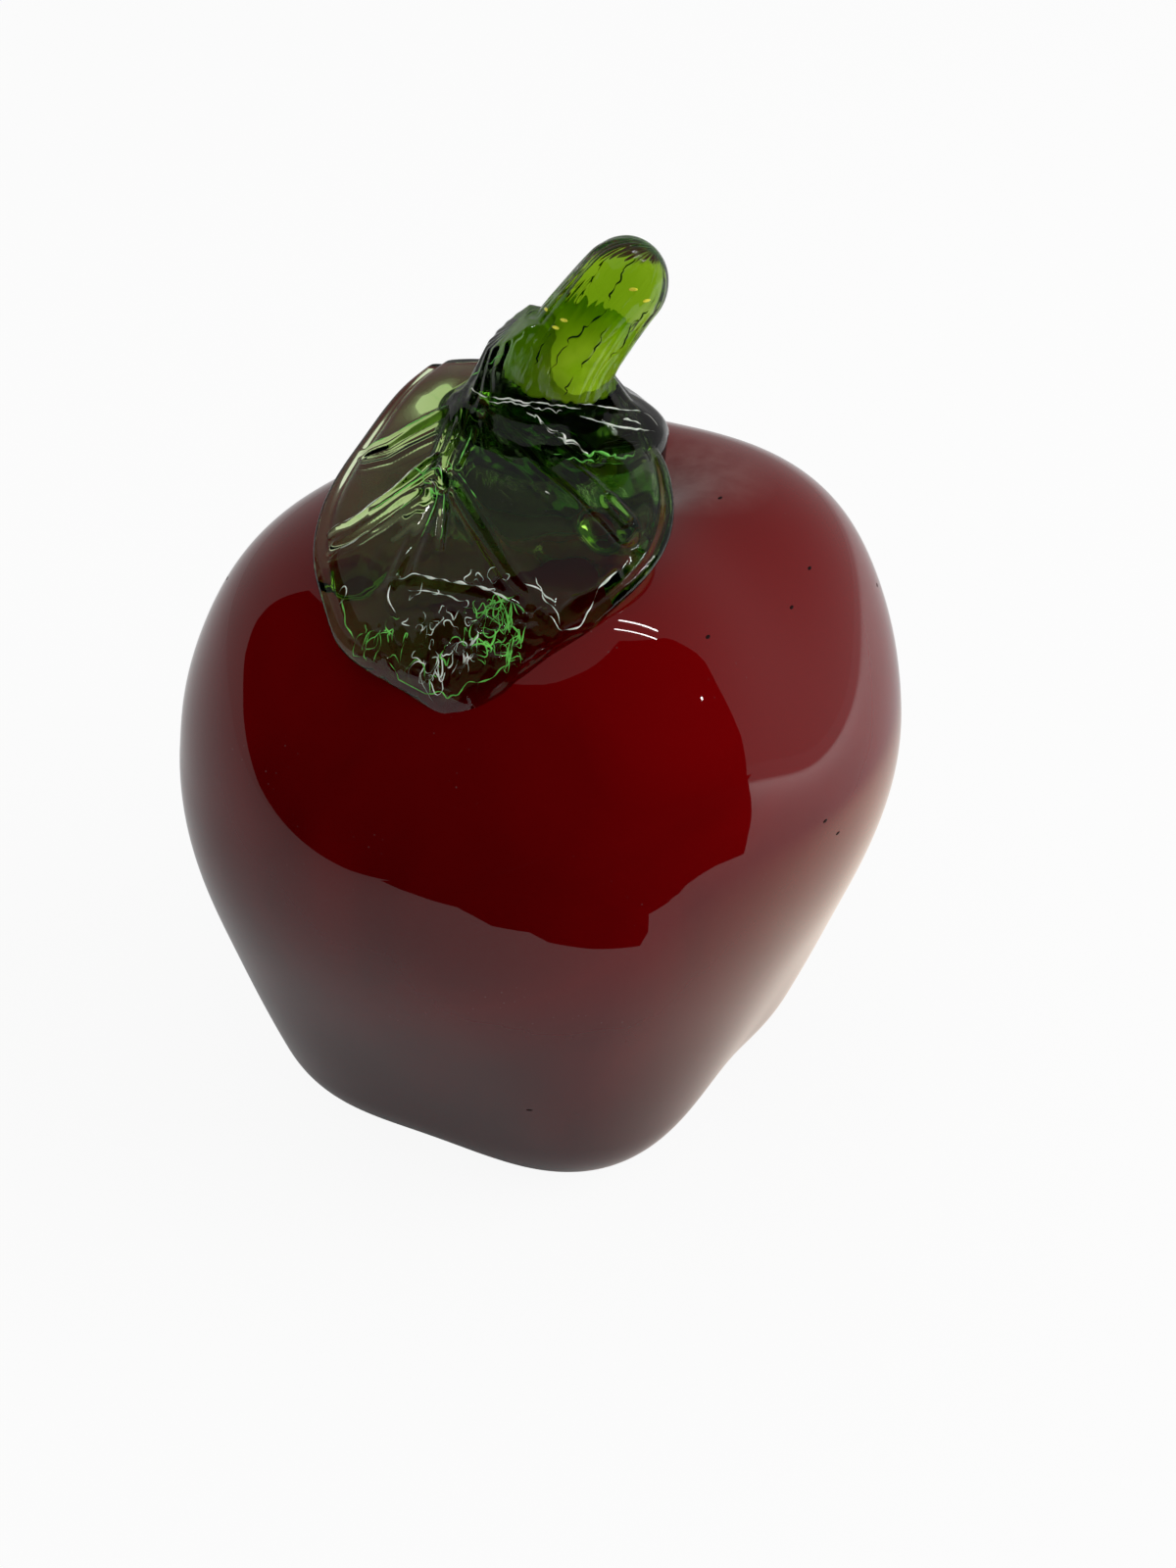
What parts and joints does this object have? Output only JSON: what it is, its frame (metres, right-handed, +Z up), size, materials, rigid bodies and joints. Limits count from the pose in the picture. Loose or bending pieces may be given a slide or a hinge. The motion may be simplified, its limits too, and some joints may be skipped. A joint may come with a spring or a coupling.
{
  "type": "art glass apple",
  "caption": "Free-standing blown glass apple: a hollow cased body with lobed feet, a bent stem and a pressed leaf on the top, as a paperweight or ornament.",
  "frame": {"origin": "on the body's axis, at the plane of the four ground feet", "axes": "+Z up along the body's axis, -Y towards the front, where the leaf hangs down, and +X towards the side that the stem leans to"},
  "size_m": [0.0889, 0.0894, 0.1123],
  "materials": {
    "clear_glass": "fire-polished",
    "red_glass": "opaque colour overlay",
    "green_glass": "fire-polished",
    "lime_glass": "fire-polished"
  },
  "bodies": {
    "root": {"clear_casing": "clear_glass", "red_layer": "red_glass", "inner_bubble": "clear_glass", "neck_seal": "green_glass", "stem": "lime_glass", "stem_collar": "green_glass", "leaf": "green_glass"}
  },
  "joints": []
}
